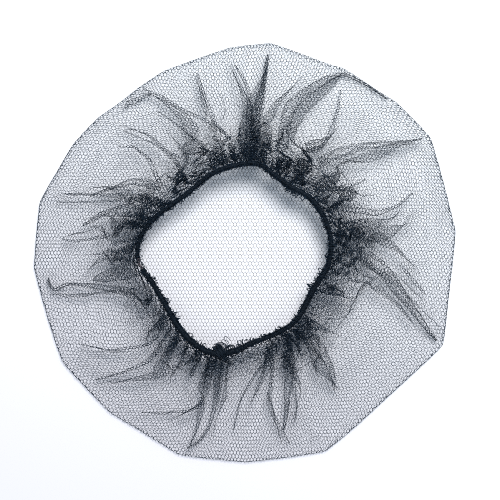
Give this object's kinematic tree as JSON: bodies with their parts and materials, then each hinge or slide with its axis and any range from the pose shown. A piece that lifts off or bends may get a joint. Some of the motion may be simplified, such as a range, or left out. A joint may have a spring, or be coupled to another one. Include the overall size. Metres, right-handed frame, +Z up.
{
  "type": "disposable mesh hairnet",
  "caption": "Dark mesh hairnet lying flat with its opening up: a round net bag gathered by an elastic band, worn over the hair.",
  "frame": {"origin": "middle of the bag's footprint on its flat underside, where it rests on a table", "axes": "+Z up through the opening; +Y towards the back, where the gathers are deepest, with the join of the elastic near -Y; +X to the right seen from above"},
  "size_m": [0.2862, 0.2839, 0.0273],
  "materials": {
    "net": "fine blue-black nylon honeycomb net, slight sheen on the threads",
    "elastic": "matt blue-black elastic, covered in overlock stitching"
  },
  "bodies": {
    "root": {"net_bag": "net", "elastic_band": "elastic", "band_join": "elastic"}
  },
  "joints": []
}
